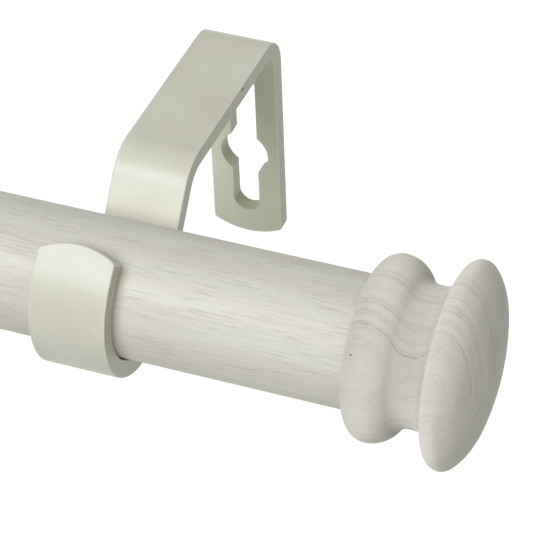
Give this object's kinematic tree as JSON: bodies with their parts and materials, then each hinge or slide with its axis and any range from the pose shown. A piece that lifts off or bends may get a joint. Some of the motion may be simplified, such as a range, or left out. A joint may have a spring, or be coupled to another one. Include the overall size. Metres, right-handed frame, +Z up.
{
  "type": "telescoping curtain rod with finials and wall brackets",
  "caption": "Round telescoping wood-look curtain rod with screw-on turned finials, resting in folded steel strap brackets with keyhole wall plates.",
  "frame": {"origin": "centre of the right bracket's keyhole, on the wall's face", "axes": "+X along the rod towards the right finial as seen from the room, +Y into the wall, +Z up"},
  "size_m": [0.7785, 0.1264, 0.081],
  "materials": {
    "wood_film": "satin whitewashed wood-grain film over steel tube",
    "finial_resin": "satin whitewashed wood-grain print on cast resin",
    "bracket_coat": "smooth ivory-grey powder coat, one small chip",
    "moulded_plastic": "natural white moulded plastic",
    "zinc_steel": "bright zinc plate"
  },
  "bodies": {
    "wall_side": {"right_bracket": "bracket_coat", "outer_tube": "wood_film", "right_end_plug": "moulded_plastic", "right_plug_nut": "zinc_steel"},
    "telescope": {"inner_tube": "wood_film", "slide_sleeve": "moulded_plastic", "left_end_plug": "moulded_plastic", "left_plug_nut": "zinc_steel", "left_bracket": "bracket_coat"},
    "right_stud": {"right_finial_stud": "zinc_steel"},
    "right_finial": {"right_finial": "finial_resin"},
    "left_stud": {"left_finial_stud": "zinc_steel"},
    "left_finial": {"left_finial": "finial_resin"}
  },
  "joints": [
    {"name": "rod_extend", "type": "slide", "parent": "wall_side", "child": "telescope", "axis": [-1, 0, 0], "range_m": [0, 0.508]},
    {"name": "right_finial_travel", "type": "slide", "parent": "wall_side", "child": "right_stud", "axis": [1, 0, 0], "range_m": [0, 0.01]},
    {"name": "right_finial_turn", "type": "hinge", "parent": "right_stud", "child": "right_finial", "pos_m": [0.0721, -0.0995, 0.0259], "axis": [1, 0, 0], "range_deg": [0, 2880]},
    {"name": "left_finial_travel", "type": "slide", "parent": "telescope", "child": "left_stud", "axis": [-1, 0, 0], "range_m": [0, 0.01]},
    {"name": "left_finial_turn", "type": "hinge", "parent": "left_stud", "child": "left_finial", "pos_m": [-0.6392, -0.0995, 0.0259], "axis": [-1, 0, 0], "range_deg": [0, 2880]}
  ],
  "couplings": [
    {"joint": "right_finial_travel", "follows": "right_finial_turn", "m_per_rad": 0.00019894},
    {"joint": "left_finial_travel", "follows": "left_finial_turn", "m_per_rad": 0.00019894}
  ]
}
